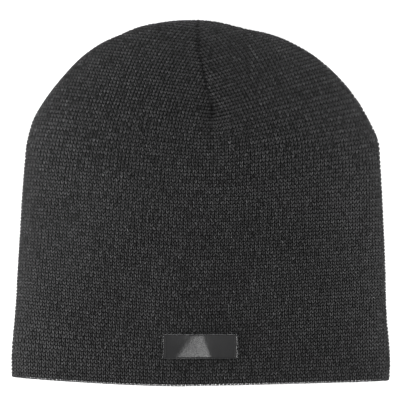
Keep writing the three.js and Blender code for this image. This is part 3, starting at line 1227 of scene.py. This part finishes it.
@dataclass
class Studio:
    """A plain pale floor, soft lights, and a camera straight above."""

    target: tuple[float, float] = (-0.0004, 0.00147)
    frame_width: float = 0.2285
    frame_height: float = 0.010
    distance: float = 2.0
    sensor: float = 36.0
    floor_size: float = 16.0
    floor_colour: tuple[float, float, float] = (0.94, 0.94, 0.94)
    floor_roughness: float = 0.9
    floor_specular: float = 0.1
    world: float = 0.72
    lights: tuple[SoftBox, ...] = (
        SoftBox("left_soft_box", (-1.5, -0.2, 0.17), (1.2, 0.3), 156.0),
        SoftBox("right_soft_box", (1.5, 0.05, 0.17), (1.2, 0.3), 99.0),
        SoftBox("crown_soft_box", (0.0, 1.6, 0.24), (1.4, 0.3), 39.0),
        SoftBox("top_strip", (0.0, -0.5, 1.6), (0.1, 0.7), 6.8),
    )

    def camera(self) -> None:
        """The camera, at the photo's angle: straight above, with the crown at the top of the picture."""
        data = bpy.data.cameras.new("camera")
        data.sensor_width = self.sensor
        data.lens = self.sensor * (self.distance - self.frame_height) / self.frame_width
        data.clip_end = 100.0
        made = in_scene("camera", data)
        made.location = (self.target[0], self.target[1], self.distance)
        bpy.context.scene.camera = made

    def floor(self) -> bpy.types.Object:
        """A plain pale floor."""
        half = self.floor_size / 2
        mesh = bpy.data.meshes.new("floor")
        corners = [(-half, -half, 0), (half, -half, 0), (half, half, 0), (-half, half, 0)]
        mesh.from_pydata(corners, [], [(0, 1, 2, 3)])
        made = in_scene("floor", mesh)
        material, _, shader = new_material("pale_floor")
        set_inputs(shader, {
            "Base Color": (*self.floor_colour, 1.0),
            "Roughness": self.floor_roughness,
            "Specular IOR Level": self.floor_specular,
        })
        mesh.materials.append(material)
        return made

    def build(self) -> None:
        """The whole studio."""
        self.camera()
        self.floor()
        world = bpy.data.worlds.new("studio")
        world.use_nodes = True
        sky = world.node_tree.nodes["Background"]
        set_inputs(sky, {"Color": (1.0, 1.0, 1.0, 1.0), "Strength": self.world})
        bpy.context.scene.world = world
        for light in self.lights:
            light.build(Vector((self.target[0], self.target[1], 0.0)))
        bpy.context.scene.view_settings.view_transform = "Standard"
        bpy.context.scene.view_settings.look = "None"


@dataclass
class Beanie:
    """The whole hat: knit wall, stitches, seams and label."""

    form: LyingForm
    maker: MeshMaker
    courses: int = 108
    inside_courses: int = -28
    rim_courses: int = -2
    flat_knit: tuple[float, float] = (0.434, 0.209)
    flat_area: float = 0.081
    flat_tab: tuple[float, float] = (0.0470, 0.0142)
    crown_from: float = 6.0
    crown_points: int = 90
    crown_out: float = 0.25
    dart_run: tuple[float, float] = (0.08, 0.86)
    dart_points: int = 60
    dart_corrections: int = 3
    dart_across: tuple[float, float, float] = (1.0, 0.15, 0.0)
    dart_in: float = 0.3
    dart_lowest: float = 0.55

    def keep(self, made: bpy.types.Object, material: bpy.types.Material, slot: Slot, *nodes: str) -> None:
        """Dresses a piece, hangs it on the root, and hides the parts of the imported model that it stands
        for.
        """
        made.data.materials.clear()
        made.data.materials.append(material)
        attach(made, ROOT)
        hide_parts(*nodes)
        LOG.info("%s: %d faces", made.name, len(made.data.polygons))

    def crown_line(self) -> tuple[Array, Array]:
        """The groove of the crown seam, from one shoulder over the top to the other."""
        place = np.linspace(self.crown_from, self.form.last, self.crown_points)
        parts, ways = [], []
        for side in (-1.0, 1.0):
            sides = np.full_like(place, side)
            spine, way, reach, _ = self.form.rays(place, sides)
            plan = spine + way * (reach - self.form.pinch_depth + self.crown_out)[:, None]
            line = self.form.stand(plan, np.full_like(place, self.form.fold))
            out = np.concatenate([way, np.zeros((len(place), 1))], 1)
            parts.append(line if side < 0 else line[-2::-1])
            ways.append(out if side < 0 else out[-2::-1])
        return np.concatenate(parts), np.concatenate(ways)

    def dart_line(self, layer: Layer) -> tuple[Array, Array]:
        """The groove of a dart, on the upper or the lower cloth."""
        last, left = np.array([self.form.last]), np.array([-1.0])
        spine, way, _, _ = self.form.rays(last, left)
        reach = self.form.cloth_reach(last, left, layer)
        rise = spine[0, 1] + way[0, 1] * reach * np.linspace(*self.dart_run, self.dart_points)
        flat = np.stack([self.form.middle_x(rise), rise], -1)
        line = self.form.drape(flat, 0.0, layer)
        for _ in range(self.dart_corrections):
            flat[:, 0] += self.form.middle_x(line[:, 1]) - line[:, 0]
            line = self.form.drape(flat, 0.0, layer)
        if layer is Layer.UPPER:
            out = np.cross(np.array(self.dart_across), np.gradient(line, axis=0))
            return line - self.dart_in * out / np.linalg.norm(out, axis=1, keepdims=True), out
        line[:, 2] = np.maximum(line[:, 2], self.dart_lowest)
        return line, np.tile([0.0, 0.0, -1.0], (len(line), 1))

    def build(self) -> None:
        """Makes every piece in order."""
        heather = heather_group()
        # The wall's colour is a quarter of the yarn's: painted shade for the gaps between stitches and the
        # inside.
        under = YarnFinish("painted_shade_ground", (0.0045, 0.0045, 0.0046), sheen=0.0).build(heather)
        yarn = YarnFinish("charcoal_yarn", (0.0180, 0.0180, 0.0184)).build(heather)
        thread = YarnFinish("black_thread", (0.007, 0.007, 0.0072), sheen=0.04, bump=0.00003).build(heather)
        satin = SatinFinish().build()
        wall = KnitWall(self.form, self.maker).build()
        self.keep(wall, under, Slot.KNIT, "knit_body")
        knitting = Knitting(self.form, self.maker)
        fine, plain = Grain(), Grain(rings=(0.5,), sides=6, thickness=0.36, depth=0.38)
        medium = Grain(across=(0.05, 0.21, 0.365), thickness=0.34, rings=(0.31, 0.71))
        slim = Grain(across=(0.05, 0.195, 0.34), thickness=0.33, rings=(0.34, 0.68))
        bands = (
            Band("stitches_front_rim", Layer.UPPER, self.rim_courses, 36, fine),
            Band("stitches_front_middle", Layer.UPPER, 36, 58, fine, 0.9, 1.1),
            Band("stitches_front_shoulder", Layer.UPPER, 58, 76, medium, 0.95, 1.3),
            Band("stitches_front_crown", Layer.UPPER, 76, self.courses, slim, 1.1, 1.35),
            Band("stitches_inside_front", Layer.UPPER, self.inside_courses, self.rim_courses, plain),
            Band("stitches_back_rim", Layer.LOWER, self.rim_courses, 54, plain),
            Band("stitches_back_crown", Layer.LOWER, 54, self.courses, plain),
            Band("stitches_inside_back", Layer.LOWER, self.inside_courses, self.rim_courses, plain),
        )
        knit_pieces = [knitting.stitch(band) for band in bands]
        for piece in knit_pieces:
            self.keep(piece, yarn, Slot.KNIT, "knit_body")
        sewing = SeamThread(self.maker)
        crown = sewing.run("crown_sewing", *self.crown_line())
        self.keep(crown, thread, Slot.THREAD, "crown_seam")
        knit_pieces.append(crown)
        for layer, name, node in (
            (Layer.UPPER, "front_dart_sewing", "front_dart_seam"),
            (Layer.LOWER, "back_dart_sewing", "back_dart_seam"),
        ):
            dart = sewing.run(name, *self.dart_line(layer))
            self.keep(dart, thread, Slot.THREAD, node)
            knit_pieces.append(dart)
        label = SatinLabel(self.form, self.maker)
        tab = label.build()
        self.keep(tab, satin, Slot.SATIN, "label")
        small = SeamThread(self.maker, length=1.1, pitch=1.3, thick=0.16, slant=0.0, sides=5, rings=3)
        rows = label.sewing(small)
        for row in rows:
            self.keep(row, thread, Slot.THREAD, "label")


def main() -> None:
    """Builds the studio and the hat."""
    logging.basicConfig(level=logging.INFO, format="%(name)s %(message)s")
    Studio().build()
    low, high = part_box("knit_body")
    crown_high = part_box("crown_seam")[1]
    form = LyingForm()
    middle_x = (form.table["right"].max() - form.table["left"].max()) / 2
    centre = (middle_x, -low[1] / METRES)
    LOG.info("frame: knit from %s to %s, crown to %s", low, high, crown_high)
    Beanie(form, MeshMaker(centre)).build()


if __name__ == "__main__":
    main()
